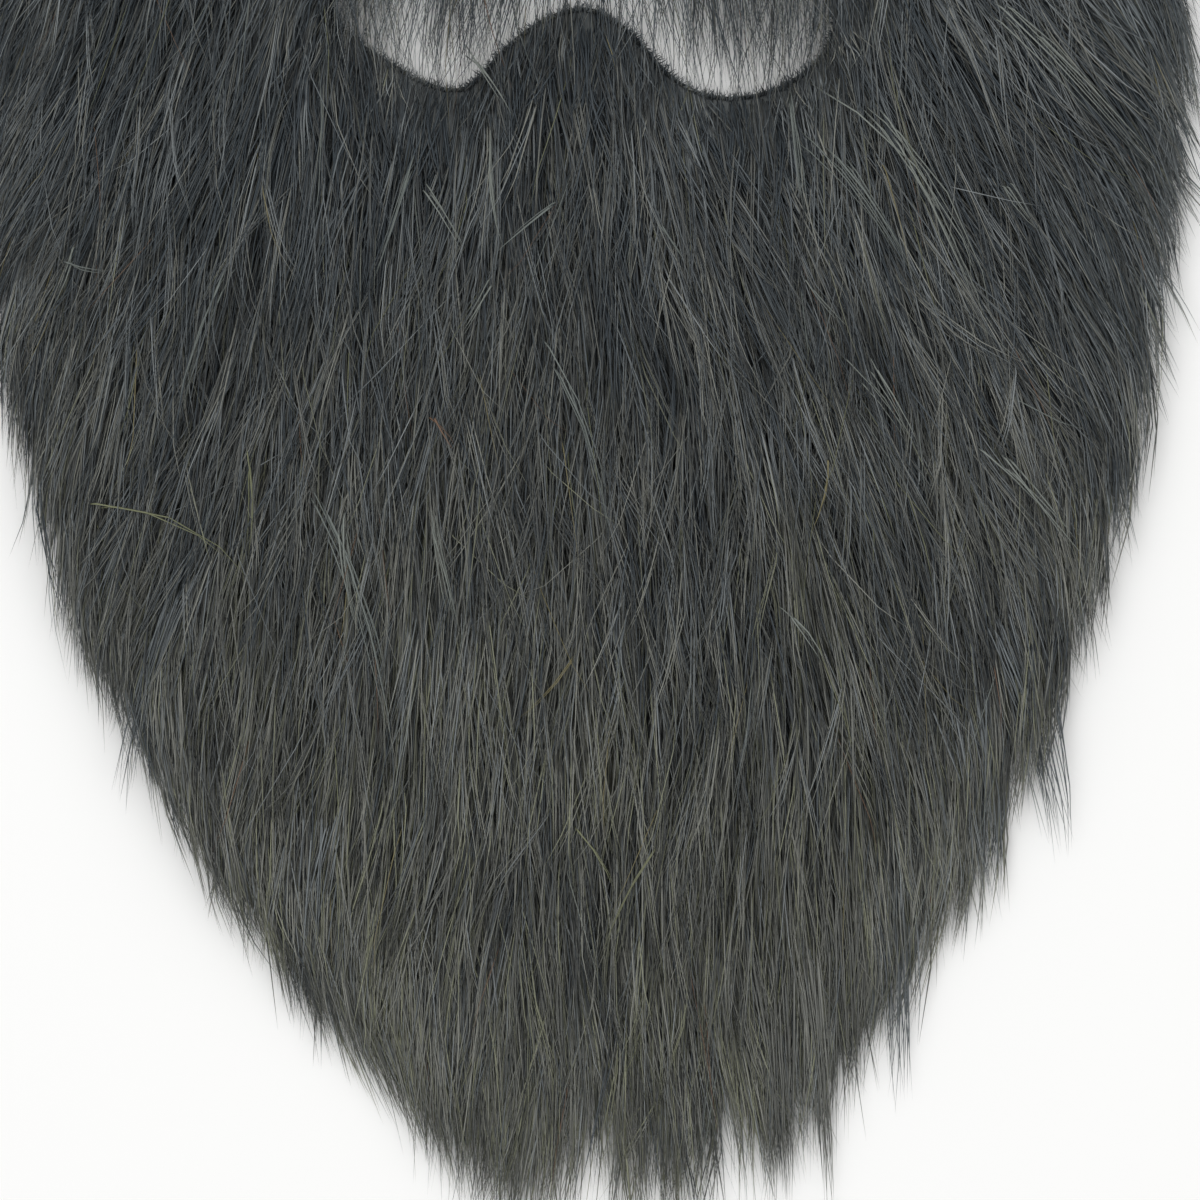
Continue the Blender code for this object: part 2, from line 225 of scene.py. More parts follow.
# Elastic: flat band of rubber cords woven in with black polyester, 6 mm wide. It is sewn behind
# the two sideburns, pulled up into the back of the cloth, and lies in a slack arch above them.
ELASTIC_ROUTE = ((-100, 76), (-99, 98), (-55, 131), (0, 138), (55, 131), (99, 98), (100, 76))
ELASTIC_WIDE_MM = 6.0
ELASTIC_THICK_MM = 1.0
ELASTIC_CORDS = 7
SELVEDGE_MM = 0.5
RIB_DEEP_MM = 0.12
PICK_MM = 0.7
PICK_RELIEF_MM = 0.2
ROUTE_STEPS = 16

route = np.array(ELASTIC_ROUTE, float) + (CLOTH_MIDDLE, 0.0)
line = []
for i in range(len(route) - 1):
    a, b, c, d = (route[min(max(i + k, 0), len(route) - 1)] for k in (-1, 0, 1, 2))
    for t in np.arange(0, 1, 1 / ROUTE_STEPS):
        bend = (2 * a - 5 * b + 4 * c - d) * t**2 + (3 * b - a - 3 * c + d) * t**3
        line.append(0.5 * (2 * b + (c - a) * t + bend))
line = np.array(line + [route[-1]])
run = np.concatenate([[0.0], np.cumsum(np.linalg.norm(np.diff(line, axis=0), axis=1))])
heading = np.gradient(line, axis=0)
heading /= np.linalg.norm(heading, axis=1, keepdims=True)
bm = bmesh.new()
band_map = bm.loops.layers.uv.new("OFBake")
# Its section, from the left edge over the top: rounded edges and a ribbed upper face
half, thick = 0.5 * ELASTIC_WIDE_MM, ELASTIC_THICK_MM
section = [(-half, 0.35), (-half + 0.2, 0.85)]
for cord in range(ELASTIC_CORDS):
    gap = (ELASTIC_WIDE_MM - 2 * SELVEDGE_MM) / ELASTIC_CORDS
    middle = -half + SELVEDGE_MM + (cord + 0.5) * gap
    section += [(middle - 0.3, thick - RIB_DEEP_MM), (middle, thick)]
section += [(half - SELVEDGE_MM, thick - RIB_DEEP_MM), (half - 0.2, 0.85), (half, 0.35)]
section += [(half - 0.25, 0.0), (-half + 0.25, 0.0)]
rings = []
for point, ahead in zip(line, heading):
    spots = [(point[0] + ahead[1] * w, point[1] - ahead[0] * w, z) for w, z in section]
    rings.append([bm.verts.new(world(*spot)) for spot in spots])
count = len(section)
for k, (near, far) in enumerate(zip(rings, rings[1:])):
    for i in range(count):
        j = (i + 1) % count
        face = bm.faces.new((near[i], near[j], far[j], far[i]))
        places = ((i, k), (i + 1, k), (i + 1, k + 1), (i, k + 1))
        for loop, (across, along) in zip(face.loops, places):
            loop[band_map].uv = (across / count, run[along] / run[-1])
for ring, end in ((rings[0], 0.0), (rings[-1], 1.0)):
    face = bm.faces.new(ring)
    for i, loop in enumerate(face.loops):
        loop[band_map].uv = (i / count, end)
bmesh.ops.recalc_face_normals(bm, faces=bm.faces)

# Woven elastic: the covered cords stand up as ribs and the weft crosses them in fine picks.
woven, shader = new_material("woven_polyester_elastic", 0.75)
weft_map = add_node(woven, "ShaderNodeUVMap", uv_map="OFBake")
picks = add_node(
    woven,
    "ShaderNodeTexWave",
    {"Vector": weft_map.outputs["UV"], "Scale": math.pi * run[-1] / (10 * PICK_MM)},
    bands_direction="Y",
)
dyed = add_node(woven, "ShaderNodeValToRGB", {"Fac": picks.outputs["Fac"]})
dyed.color_ramp.elements[0].color = linear("#17181a")
dyed.color_ramp.elements[1].color = linear("#303235")
raised = add_node(
    woven, "ShaderNodeBump", {"Height": picks.outputs["Fac"], "Distance": PICK_RELIEF_MM * MM}
)
feed(woven, shader, Base_Color=dyed.outputs["Color"], Normal=raised.outputs["Normal"])
band = add_piece("elastic_band", mesh_of(bm, "elastic_band"), woven)
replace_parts(band, "elastic_strap")

# Underfur: the short dense fibres at the foot of the pile. They felt together into one dark layer
# that fills the lowest third of the pile and thins out to nothing along each cut edge.
PILE_EDGE_MM = 2.6
PILE_BED_MM = 13.0
PILE_RISE_MM = 34.0
PILE_FALL_MM = 24.0
PILE_FOOT_MM = 0.3
UNDERFUR_SHARE = 0.36
UNDERFUR_CELL_MM = 3.5
UNDERFUR_INSET_MM = 1.0
UNDERFUR_SLOPE_MM = 14.0
CLEARANCE_MM = 0.1
# Noise cells to a metre across, along and through the felt: streaks 1.1 mm wide and 17 mm long
FELT_STREAKS = (900.0, 60.0, 300.0)
FELT_RELIEF_MM = 1.0
# A map of the cloth from its lowest corner on, and its size, in millimetres
MAP_LOW = np.array((-150.0, -275.0))
MAP_SIZE = (300, 400)


def map_depth(loops):
    """How far each point of a map, a millimetre apart, lies inside the cloth, negative outside."""
    x = MAP_LOW[0] + np.arange(MAP_SIZE[0])[:, None]
    y = MAP_LOW[1] + np.arange(MAP_SIZE[1])[None, :]
    nearest = np.full(MAP_SIZE, np.inf)
    inside = np.zeros(MAP_SIZE, bool)
    for line in loops:
        for (ax, ay), (bx, by) in zip(line, np.roll(line, -1, axis=0)):
            across, up = bx - ax, by - ay
            t = np.clip(((x - ax) * across + (y - ay) * up) / (across**2 + up**2), 0.0, 1.0)
            nearest = np.minimum(nearest, np.hypot(ax + t * across - x, ay + t * up - y))
            if ay != by:
                inside ^= ((ay > y) != (by > y)) & (x < ax + (y - ay) * across / up)
    return np.where(inside, nearest, -nearest)


def read_map(values, u, v):
    """A map's values between its points."""
    u = np.clip(u, 0.0, values.shape[0] - 1.001)
    v = np.clip(v, 0.0, values.shape[1] - 1.001)
    i, j = u.astype(int), v.astype(int)
    u, v = u - i, v - j
    low = values[i, j] * (1 - u) + values[i + 1, j] * u
    high = values[i, j + 1] * (1 - u) + values[i + 1, j + 1] * u
    return low * (1 - v) + high * v


DEPTH_MAP = map_depth(CUT_LOOPS)


def smooth(value):
    held = np.clip(value, 0.0, 1.0)
    return held * held * (3.0 - 2.0 * held)


def depth(x, y):
    """How far points lie inside the cloth, negative outside it."""
    return read_map(DEPTH_MAP, x - MAP_LOW[0], y - MAP_LOW[1])


def inward(x, y):
    """The way from points towards the inside of the cloth."""
    slope = np.stack(
        [depth(x + 1, y) - depth(x - 1, y), depth(x, y + 1) - depth(x, y - 1)], axis=-1
    )
    return slope / np.maximum(np.linalg.norm(slope, axis=-1, keepdims=True), 1e-6)


def pile_bed(x, y):
    """Height of the pile over the floor: low along the cut edges, crowned between them."""
    inside = depth(x, y)
    crown = smooth(inside / PILE_RISE_MM) * (PILE_BED_MM - PILE_EDGE_MM)
    fall = smooth(-inside / PILE_FALL_MM) * PILE_EDGE_MM
    return CLOTH_TOP + PILE_FOOT_MM + PILE_EDGE_MM + crown - fall


# Felted modacrylic fibres, matt and dark, drawn out down the face.
felt, shader = new_material("felted_modacrylic_underfur", 0.95)
place = add_node(felt, "ShaderNodeTexCoord")
drawn = add_node(
    felt, "ShaderNodeMapping", {"Vector": place.outputs["Object"], "Scale": FELT_STREAKS}
)
fibres = add_node(felt, "ShaderNodeTexNoise", {"Vector": drawn.outputs["Vector"], "Scale": 1.0})
dark = add_node(felt, "ShaderNodeValToRGB", {"Fac": fibres.outputs["Fac"]})
dark.color_ramp.elements[0].color = linear("#3c4042")
dark.color_ramp.elements[1].color = linear("#6a6e6e")
raised = add_node(
    felt, "ShaderNodeBump", {"Height": fibres.outputs["Fac"], "Distance": FELT_RELIEF_MM * MM}
)
feed(felt, shader, Base_Color=dark.outputs["Color"], Normal=raised.outputs["Normal"])

bm = bmesh.new()
cells = [int(side / UNDERFUR_CELL_MM) for side in MAP_SIZE]
bmesh.ops.create_grid(bm, x_segments=cells[0], y_segments=cells[1], size=0.5)
spots = MAP_LOW + (np.array([vert.co[:2] for vert in bm.verts]) + 0.5) * (np.array(MAP_SIZE) - 1)
# Points near the edge are drawn onto a line just inside it
inside = depth(*spots.T)
near = np.abs(inside - UNDERFUR_INSET_MM) < 0.6 * UNDERFUR_CELL_MM
spots[near] -= inward(*spots[near].T) * (inside[near] - UNDERFUR_INSET_MM)[:, None]
inside = depth(*spots.T)
heights = pile_bed(*spots.T) - CLOTH_TOP
slope = smooth(inside / UNDERFUR_SLOPE_MM)
heights = CLOTH_TOP + PILE_FOOT_MM + UNDERFUR_SHARE * heights * slope
for vert, spot, height in zip(bm.verts, spots, heights):
    vert.co = world(*spot, height)
outside = [vert for vert, held in zip(bm.verts, inside) if held < 0.6 * UNDERFUR_INSET_MM]
bmesh.ops.delete(bm, geom=outside, context="VERTS")
for face in bm.faces:
    if face.normal.z > 0:
        face.normal_flip()
doubled = bmesh.ops.extrude_face_region(bm, geom=bm.faces[:])
lifted = {g for g in doubled["geom"] if isinstance(g, bmesh.types.BMVert)}
for vert in bm.verts:
    if vert not in lifted:
        vert.co.z = (CLOTH_TOP + CLEARANCE_MM) * MM
bmesh.ops.recalc_face_normals(bm, faces=bm.faces)
underfur = add_piece("underfur", mesh_of(bm, "underfur", True), felt)

# Pile of the beard: modacrylic false hair about 5 cm long, combed down and out over the cheeks.
# Fibres hang together in fine pointed tufts, and tufts in soft locks. The inner pile carries the
# top coat, whose finer hairs lie over it.
LOCK_GAP_MM = 15.0
LOCK_RISE_MM = 5.0
PILE_LENGTH_MM = 55.0
GUIDE_STEPS = 8
LOWEST_TIP_MM = -268.0
# A strand lies no lower than the cloth, and past the cut edge it comes down to the floor
LYING_AT_MM = (-9.0, 0.0)
LYING_HEIGHT_MM = (0.45, CLOTH_TOP + CLEARANCE_MM)
# How a lock swells along its strands, from sunk in at the root to full near the tip
SWELL_AT = (0.0, 0.42, 0.8, 1.0)
SWELL = (-0.5, 0.35, 1.0, 0.7)
FREE_SHARE = 0.22
COMBINGS = 10
COMBED_BACK_DEG = 3.0
PILE_SPLIT_MM = 38
COLUMNS = 32
SHADES = 8
MEAN_SHADE = 0.31

Reach = namedtuple("Reach", "up left right")
# How far the tips reach to each side at a height
FUR_REACH = (
    Reach(-268, -18, 34),
    Reach(-256, -27, 40),
    Reach(-246, -32, 50),
    Reach(-235, -38, 54),
    Reach(-225, -48, 59),
    Reach(-214, -59, 66),
    Reach(-204, -68, 71),
    Reach(-193, -75, 82),
    Reach(-180, -83, 84),
    Reach(-171, -88, 92),
    Reach(-160, -96, 95),
    Reach(-150, -103, 97),
    Reach(-142, -107, 103),
    Reach(-125, -112, 108),
    Reach(-110, -116, 111),
    Reach(-88, -124, 115),
    Reach(-70, -128, 118),
    Reach(-60, -129, 124),
    Reach(-31, -130, 126),
    Reach(60, -130, 127),
    Reach(102, -125, 122),
)

Cut = namedtuple("Cut", "steps widths")
# Where a strand's rings stand along it and how thick it is there. It ends in a point.
INNER_CUT = Cut(np.array((0.0, 0.28, 0.65, 1.0)), np.array((0.8, 1.0, 0.72)))
TOP_CUT = Cut(np.array((0.0, 0.2, 0.46, 0.76, 1.0)), np.array((0.75, 1.0, 0.85, 0.48)))

Locks = namedtuple("Locks", "spots lean curl lift length shade slack")
# Strands are drawn 0.2 to 0.5 mm thick, several times a real fibre, so that they show.
# Tufts to grow: their roots and lengths, how many strands each has and how thick, how wide it is
# at its root, between which layers of the pile it lies, how far it draws together at its tip, how
# unruly it is in degrees, how much lighter than the rest, and its share of odd hairs.
Batch = namedtuple(
    "Batch", "roots lengths count width spread layers draw ruffle light odd", defaults=(0.0, 0.0)
)


def past_reach(path):
    """How far a path's outer half passes the fur's reach at most, and on which side."""
    x, y = path[:, GUIDE_STEPS // 2 :, 0], path[:, GUIDE_STEPS // 2 :, 1]
    heights = [row.up for row in FUR_REACH]
    left = (np.interp(y, heights, [row.left for row in FUR_REACH]) - x).max(1)
    right = (x - np.interp(y, heights, [row.right for row in FUR_REACH])).max(1)
    return np.maximum(left, right), np.where(right > left, 1.0, -1.0)


def beard_comb(x, y):
    """Lean of the pile from straight down, towards +X: it fans out over the cheeks, less so on
    the left and on the sideburns, and falls almost straight at the chin."""
    down = smooth(-y / 200.0)
    fan = np.radians(38.0) * (1.0 - down) + np.radians(12.0) * down
    side = x / 110.0 * np.where(x < 0, 0.62, 1.0)
    return fan * side * (1.0 - 0.45 * smooth((y - 10.0) / 40.0))


def outward_comb(x, y):
    """Lean of the fuzz along a cut edge, straight out over it."""
    away = -inward(x, y)
    return np.arctan2(away[..., 0], -away[..., 1])


def scatter(rng, low, high, gap):
    """Staggered rows of points a gap apart, each moved a little at random."""
    x, y = np.meshgrid(np.arange(low[0], high[0], gap), np.arange(low[1], high[1], gap * 0.87))
    x = x + 0.5 * gap * (np.arange(len(x)) % 2)[:, None]
    spots = np.stack([x.ravel(), y.ravel()], axis=1)
    return spots + rng.uniform(-0.42, 0.42, spots.shape) * gap


def patches(rng, spots, cell):
    """A random value at each point that changes softly over about a cell."""
    values = rng.normal(0, 1, [int(side / cell) + 3 for side in MAP_SIZE])
    return read_map(values, *((spots - MAP_LOW) / cell).T)


def make_locks(rng, low, high, gap):
    spots = scatter(rng, low, high, gap)
    count = len(spots)
    right = spots[:, 0] > 0
    return Locks(
        spots,
        rng.uniform(-1, 1, count) * np.radians(5.0),
        rng.uniform(-1, 1, count) * np.radians(9.0),
        rng.uniform(0.5, 1.15, count),
        rng.uniform(0.9, 1.07, count),
        rng.normal(0, 1.0, count),
        rng.normal(0, 1, count) * np.where(right, 2.4, 1.2),
    )


def guides(rng, batch, comb, locks, limit):
    """The path of each tuft, seen from the front, from root to tip, and the lock that it is in."""
    roots, count = batch.roots, len(batch.roots)
    owner = np.argmin(((roots[:, None] - locks.spots[None]) ** 2).sum(2), axis=1)
    wild = batch.ruffle * (1.0 + 0.7 * smooth((roots[:, 1] + 140.0) / 60.0))
    lean = locks.lean[owner] + rng.normal(0, 1, count) * np.radians(wild)
    lean += np.radians(4.0) * patches(rng, roots, 9.0)
    curl = locks.curl[owner] + rng.normal(0, 1.6, count) * np.radians(wild)
    curl += np.radians(7.0) * patches(rng, roots, 11.0)
    phase = rng.uniform(0, 2 * np.pi, count)
    sway = rng.uniform(0.3, 1.0, count) * np.radians(9.0)
    slack = locks.slack[owner] + rng.normal(0, 1.2, count)
    share = np.ones(count)
    for _ in range(COMBINGS):
        paths = [roots]
        for step in range(GUIDE_STEPS):
            x, y = paths[-1].T
            s = step / GUIDE_STEPS
            turn = comb(x, y) + lean + curl * s + sway * np.sin(phase + 5.5 * s)
            ahead = np.stack([np.sin(turn), -np.cos(turn)], axis=1)
            paths.append(paths[-1] + ahead * (batch.lengths * share / GUIDE_STEPS)[:, None])
        path = np.stack(paths, axis=1)
        if not limit:
            break
        # A tuft that reaches too far is combed back towards the middle, and is shorter
        past, side = past_reach(path)
        out = past > slack
        low = path[:, -1, 1] < LOWEST_TIP_MM - slack
        lean = np.where(out, lean - side * np.radians(COMBED_BACK_DEG), lean)
        share = np.where((out | low) & (share > 0.6), share * 0.955, share)
    return path, owner


def strands_on(rng, batch, path, owner, locks, cut, rise):
    """Strands round each tuft's path: their points, half widths and tufts. They draw together
    towards its tip, and lie in layers between the underfur and the top of the lock."""
    tuft = np.repeat(np.arange(len(path)), batch.count)
    total = len(tuft)
    length = np.linalg.norm(np.diff(path, axis=1), axis=2).sum(1)[tuft]
    angle = rng.uniform(0, 2 * np.pi, total)
    radius = batch.spread * np.sqrt(rng.uniform(0, 1, total))
    sideways, along = radius * np.cos(angle), radius * np.sin(angle)
    draw = rng.uniform(*batch.draw, len(path))[tuft]
    free = rng.uniform(0, 1, total) < FREE_SHARE
    draw = np.where(free, rng.uniform(-0.6, 0.3, total), draw)
    reach = rng.uniform(0.72, 1.0, total)
    layer = rng.uniform(*batch.layers, len(path))[tuft] + rng.normal(0, 0.07, total)
    layer = np.clip(layer, 0.35, batch.layers[1] + 0.05)
    stray = rng.normal(0, 0.02, total) * length * np.where(free, 2.0, 1.0)
    lock = owner[tuft]
    off = path[tuft, 0] - locks.spots[lock]
    start = path[tuft, 1] - path[tuft, 0]
    start /= np.linalg.norm(start, axis=1, keepdims=True)
    beside = off[:, 0] * start[:, 1] - off[:, 1] * start[:, 0]
    ridge = np.clip(1.0 - (beside / (0.6 * LOCK_GAP_MM)) ** 2, 0.0, 1.0)
    points = np.empty((total, len(cut.steps), 3))
    for k, step in enumerate(cut.steps):
        s = along / length * (1 - step) + step * reach
        at = np.clip(s, 0, 0.9999) * GUIDE_STEPS
        i = at.astype(int)
        t = (at - i)[:, None]
        here, after = path[tuft, i], path[tuft, i + 1]
        ahead = (after - here) / np.linalg.norm(after - here, axis=1, keepdims=True)
        spot = here * (1 - t) + after * t + ahead * (np.minimum(s, 0) * length)[:, None]
        side = sideways * (1 - draw * smooth(step * 1.15)) + stray * step**1.6
        spot = spot + np.stack([-ahead[:, 1], ahead[:, 0]], axis=1) * side[:, None]
        inside = depth(*spot.T)
        beyond = smooth(-inside / PILE_FALL_MM)
        lift = np.interp(step, SWELL_AT, SWELL)
        lift = lift * rise * locks.lift[lock] * (0.4 + 0.6 * ridge) * (1 - 0.7 * beyond)
        low = np.interp(inside, LYING_AT_MM, LYING_HEIGHT_MM)
        stand = layer * math.sin(min(step / 0.55, 1.0) * math.pi / 2)
        points[:, k, :2] = spot
        points[:, k, 2] = np.maximum(low + (pile_bed(*spot.T) + lift - low) * stand, low)
    return points, 0.5 * batch.width * rng.uniform(0.65, 1.2, total), tuft, lock


def tints_of(rng, batch, points, tuft, lock, locks):
    """The column of each strand's tint on the dye map. Locks, tufts and patches of them differ.
    The pile is darkest under the lip, lighter and more olive at the chin, and palest where it thins
    out past the cloth, which is painted light for the thin hairs lit from behind. A few strands are
    odd hairs."""
    total = len(tuft)
    x, y = points[:, -1, :2].T
    down = smooth(-y / 210.0)
    # Painted light: past the cloth's edge the thin hairs are painted paler, a painted rim of light
    beyond = smooth(-depth(x, y) / 12.0)
    under_lip = smooth(1.0 - np.hypot(x / 75.0, (y + 22.0) / 60.0))
    light = MEAN_SHADE + batch.light + 0.15 * down + 0.2 * beyond - 0.23 * under_lip
    light += 0.05 * x / 110.0 * (1.0 - 2.0 * down)
    light += 0.08 * locks.shade[lock] + 0.38 * patches(rng, batch.roots, 4.2)[tuft]
    light += rng.normal(0, 0.15, len(batch.roots))[tuft] + rng.normal(0, 0.04, total)
    shade = np.clip((light * SHADES).astype(int), 0, SHADES - 1)
    warm = 0.7 + 0.85 * down + 0.25 * patches(rng, batch.roots, 9.0)[tuft]
    warm = np.clip(warm + rng.normal(0, 0.5, total), 0, len(DYES) - 0.01)
    column = warm.astype(int) * SHADES + shade
    odd = rng.uniform(0, 1, total) < batch.odd
    return np.where(odd, len(DYES) * SHADES + rng.integers(0, len(ODD_HAIRS), total), column)


def grow(rng, batch, comb, locks, cut, rise, limit=True):
    """The strands of a batch: their points, half widths and tint columns."""
    path, owner = guides(rng, batch, comb, locks, limit)
    points, size, tuft, lock = strands_on(rng, batch, path, owner, locks, cut, rise)
    column = tints_of(rng, batch, points, tuft, lock, locks)
    rooted = depth(*points[:, 0, :2].T) > 0.2
    return points[rooted], size[rooted], column[rooted]


def strand_mesh(name, rng, cut, points, size, column):
    """Closed three-sided strands, half as thick as size and ending in a point, as one mesh.

    Its map runs across each strand in the column of its tint, and from its root to its tip."""
    total, rings = len(points), len(cut.widths)
    spots = (points + (PARTING_X, PARTING_Y, 0.0)) * MM
    along = np.gradient(spots, axis=1)
    along /= np.linalg.norm(along, axis=2, keepdims=True)
    side = np.cross(along, (0.0, 0.0, 1.0))
    side /= np.maximum(np.linalg.norm(side, axis=2, keepdims=True), 1e-9)
    over = np.cross(side, along)
    angle = rng.uniform(0, 2 * np.pi, total)[:, None] + np.arange(3) * (2 * np.pi / 3)
    verts = np.empty((total, 3 * rings + 1, 3))
    for ring in range(rings):
        reach = (size * cut.widths[ring] * MM)[:, None, None]
        corner = np.cos(angle)[..., None] * side[:, None, ring]
        corner = corner + np.sin(angle)[..., None] * over[:, None, ring]
        verts[:, 3 * ring : 3 * ring + 3] = spots[:, None, ring] + reach * corner
    verts[:, -1] = spots[:, -1]
    corners, starts, across, up = [], [], [], []
    for ring in range(rings):
        for k in range(3):
            a, b = 3 * ring + k, 3 * ring + (k + 1) % 3
            starts.append(len(corners))
            if ring + 1 < rings:
                corners += [a, a + 3, b + 3, b]
                across += [k, k, k + 1, k + 1]
                up += [cut.steps[i] for i in (ring, ring + 1, ring + 1, ring)]
            else:
                corners += [a, 3 * rings, b]
                across += [k, k + 0.5, k + 1]
                up += [cut.steps[ring], 1.0, cut.steps[ring]]
    starts.append(len(corners))
    corners += [0, 1, 2]
    across += [0, 1.5, 3]
    up += [0.0, 0.04, 0.0]
    each = np.arange(total)[:, None]
    mesh = bpy.data.meshes.new(name)
    mesh.vertices.add(verts.size // 3)
    mesh.vertices.foreach_set("co", verts.ravel())
    mesh.loops.add(total * len(corners))
    mesh.loops.foreach_set("vertex_index", (each * verts.shape[1] + np.array(corners)).ravel())
    mesh.polygons.add(total * len(starts))
    mesh.polygons.foreach_set("loop_start", (each * len(corners) + np.array(starts)).ravel())
    mesh.polygons.foreach_set("use_smooth", np.ones(total * len(starts), bool))
    dye = np.empty((total, len(corners), 2))
    dye[..., 0] = (column[:, None] + 0.15 + 0.7 * np.array(across) / 3) / COLUMNS
    dye[..., 1] = 0.02 + 0.96 * np.array(up)
    mesh.uv_layers.new(name="OFBake").data.foreach_set("uv", dye.ravel())
    mesh.update()
    mesh.validate()
    return mesh


# Dyed modacrylic: three charcoal dyes mixed, from cool to olive, each from dark to light, with a
# few grey, golden and russet hairs. It has a soft dull gloss. Painted light runs along each strand:
# the tip is painted lightest so that the lower strand reads as shaded, and the root is lifted a
# little to brighten the shade deep in the pile.
DYES = (
    ("#434a4f", "#878c8d"),
    ("#46494a", "#8a8b84"),
    ("#474943", "#8d8f7b"),
)
ODD_HAIRS = ("#6c726f", "#646a67", "#7d7658", "#6d6f58", "#6d706a", "#705b4c", "#777a60", "#797e79")
hair, shader = new_material("dyed_modacrylic_hair", 0.6)
shader.inputs["Specular IOR Level"].default_value = 0.25
dye_map = add_node(hair, "ShaderNodeUVMap", uv_map="OFBake")
split = add_node(hair, "ShaderNodeSeparateXYZ", {"Vector": dye_map.outputs["UV"]})
tint = add_node(hair, "ShaderNodeValToRGB", {"Fac": split.outputs["X"]})
tint.color_ramp.interpolation = "CONSTANT"
tints = []
for dark_dye, light_dye in DYES:
    dark_end, light_end = np.array(linear(dark_dye)), np.array(linear(light_dye))
    for step in np.linspace(0.0, 1.0, SHADES):
        tints.append(tuple(dark_end + (light_end - dark_end) * step**1.3))
tints += [linear(code) for code in ODD_HAIRS]
stops = tint.color_ramp.elements
for i, colour in enumerate(tints):
    stop = stops[i] if i < 2 else stops.new(i / COLUMNS)
    stop.position = i / COLUMNS
    stop.color = colour
# Painted light along each strand: root lifted to brighten the shade in the pile, middle plain, tip
# painted lightest as painted depth
ends = add_node(hair, "ShaderNodeValToRGB", {"Fac": split.outputs["Y"]})
ends.color_ramp.elements[0].color = (1.15, 1.15, 1.15, 1.0)
ends.color_ramp.elements[1].color = (1.0, 1.0, 1.0, 1.0)
ends.color_ramp.elements[1].position = 0.45
ends.color_ramp.elements.new(0.75).color = (1.0, 1.0, 1.0, 1.0)
ends.color_ramp.elements.new(1.0).color = (1.4, 1.4, 1.38, 1.0)
shaded = add_node(
    hair,
    "ShaderNodeMix",
    {0: 1.0, 6: tint.outputs["Color"], 7: ends.outputs["Color"]},
    data_type="RGBA",
    blend_type="MULTIPLY",
)
feed(hair, shader, Base_Color=shaded.outputs[2])


def in_moustache(spots):
    """Whether points lie in the moustache's own area, above a line from each mouth corner."""
    x, y = spots.T
    return (y > -4.0) & (np.abs(x + 2.0) < np.interp(y, (-6.0, 38.0, 60.0), (53.0, 71.0, 71.0)))


def beard_roots(rng, gap, least=0.5, low=(-125, -212), high=(121, 106)):
    spots = scatter(rng, low, high, gap)
    return spots[(depth(*spots.T) > least) & ~in_moustache(spots)]


def edge_roots(rng, comb, low, high, gap, reach):
    """Points close along each edge that the pile is combed away from."""
    spots = scatter(rng, low, high, gap)
    x, y = spots.T
    turn = comb(x, y)
    held = depth(x, y)
    gained = depth(x + 3.0 * np.sin(turn), y - 3.0 * np.cos(turn)) - held
    return spots[(held > 0.25) & (held < reach) & (gained > 0.9)]


def add_strands(name, rng, cut, grown, node):
    points, size, column = grown
    mesh = strand_mesh(name, rng, cut, points, size, column)
    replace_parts(add_piece(name, mesh, hair), node)


def pooled(*grown):
    return [np.concatenate(rows) for rows in zip(*grown)]


def part_of(grown, chosen):
    return [rows[chosen] for rows in grown]


def chin_growth(roots):
    """The pile is left longer towards the chin."""
    return 1.0 + 0.17 * smooth((-roots[:, 1] - 130.0) / 60.0)


rng = np.random.default_rng(23)
beard_locks = make_locks(rng, (-135, -225), (135, 115), LOCK_GAP_MM)
roots = beard_roots(rng, 3.95)
inner = Batch(
    roots=roots,
    lengths=PILE_LENGTH_MM * rng.uniform(0.84, 1.04, len(roots)) * chin_growth(roots),
    count=7,
    width=0.5,
    spread=2.1,
    layers=(0.5, 0.86),
    draw=(0.3, 0.9),
    ruffle=4.0,
    # painted light: the inner pile is painted lighter to lift the shade in the gaps between the top
    # coat's strands
    light=0.06,
)
roots = edge_roots(rng, beard_comb, (-125, -60), (121, 108), 1.6, 7.0)
roots = roots[~in_moustache(roots)]
along_edges = Batch(
    roots=roots,
    lengths=rng.uniform(18, 42, len(roots)),
    count=3,
    width=0.42,
    spread=0.9,
    layers=(0.45, 0.8),
    draw=(0.2, 0.7),
    ruffle=6.0,
    light=-0.04,
)
roots = edge_roots(rng, beard_comb, (-62, -30), (60, 12), 0.95, 2.6)
under_mouth = Batch(
    roots=roots,
    lengths=rng.uniform(5, 15, len(roots)),
    count=1,
    width=0.36,
    spread=0.3,
    layers=(0.5, 0.8),
    draw=(0.0, 0.4),
    ruffle=6.0,
    light=-0.1,
)
roots = scatter(rng, (-64, -28), (60, 12), 0.4)
roots = roots[(depth(*roots.T) > 0.25) & (depth(*roots.T) < 1.2)]
mouth_fuzz = Batch(
    roots=roots,
    lengths=rng.uniform(1.2, 2.8, len(roots)),
    count=1,
    width=0.28,
    spread=0.2,
    layers=(0.4, 0.7),
    draw=(0.0, 0.2),
    ruffle=16.0,
    # painted light: the fuzz is painted lighter to lift the shade under it along the mouth edge
    light=0.12,
)
grown = pooled(
    grow(rng, inner, beard_comb, beard_locks, INNER_CUT, LOCK_RISE_MM),
    grow(rng, along_edges, beard_comb, beard_locks, INNER_CUT, LOCK_RISE_MM),
    grow(rng, under_mouth, beard_comb, beard_locks, INNER_CUT, LOCK_RISE_MM),
    grow(rng, mouth_fuzz, outward_comb, beard_locks, INNER_CUT, 0.5),
)
for name, chosen in (
    ("inner_pile_left", grown[0][:, 0, 0] < -PILE_SPLIT_MM),
    ("inner_pile_middle", np.abs(grown[0][:, 0, 0]) <= PILE_SPLIT_MM),
    ("inner_pile_right", grown[0][:, 0, 0] > PILE_SPLIT_MM),
):
    add_strands(name, rng, INNER_CUT, part_of(grown, chosen), "beard_fur")

